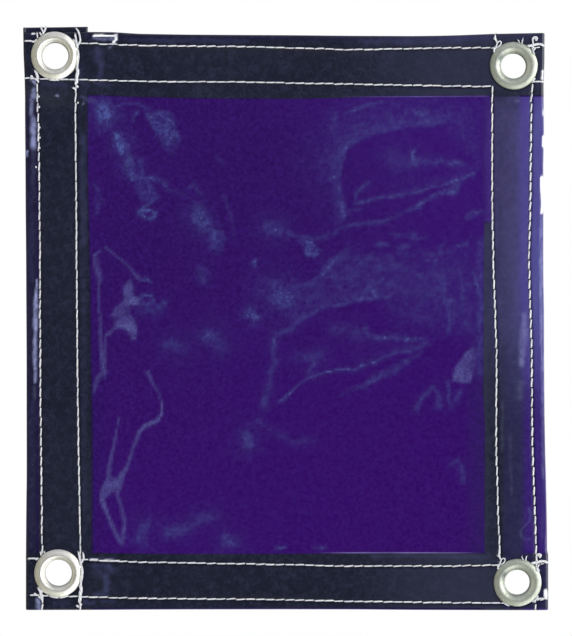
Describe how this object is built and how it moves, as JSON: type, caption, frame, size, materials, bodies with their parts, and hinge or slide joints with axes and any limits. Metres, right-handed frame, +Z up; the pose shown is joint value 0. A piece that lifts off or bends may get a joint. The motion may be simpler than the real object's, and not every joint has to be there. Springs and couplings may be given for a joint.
{
  "type": "welding curtain panel",
  "caption": "Small hanging welding screen of see-through dark violet PVC film, with taped, double-stitched hems and a grommet in each corner.",
  "frame": {"origin": "centre of the panel's box", "axes": "+Z up the hanging panel, front towards -Y, +X to the right as seen from the front"},
  "size_m": [0.2748, 0.0078, 0.3085],
  "materials": {
    "film": "glossy see-through dark violet flexible PVC",
    "tape": "matt black vinyl-coated reinforcing tape",
    "thread": "white bonded polyester sewing thread",
    "grommet": "nickel-plated brass, bright with a slight tarnish",
    "washer": "nickel-plated brass, bright with a slight tarnish"
  },
  "bodies": {
    "root": {"film_sheet": "film", "top_hem_tape": "tape", "bottom_hem_tape": "tape", "left_hem_tape": "tape", "right_hem_tape": "tape", "top_outer_needle_thread": "thread", "top_outer_bobbin_thread": "thread", "top_inner_needle_thread": "thread", "top_inner_bobbin_thread": "thread", "bottom_inner_needle_thread": "thread", "bottom_inner_bobbin_thread": "thread", "bottom_outer_needle_thread": "thread", "bottom_outer_bobbin_thread": "thread", "left_outer_needle_thread": "thread", "left_outer_bobbin_thread": "thread", "left_inner_needle_thread": "thread", "left_inner_bobbin_thread": "thread", "right_outer_needle_thread": "thread", "right_outer_bobbin_thread": "thread", "right_inner_needle_thread": "thread", "right_inner_bobbin_thread": "thread", "top_left_grommet": "grommet", "top_left_washer": "washer", "top_right_grommet": "grommet", "top_right_washer": "washer", "bottom_left_grommet": "grommet", "bottom_left_washer": "washer", "bottom_right_grommet": "grommet", "bottom_right_washer": "washer"}
  },
  "joints": []
}
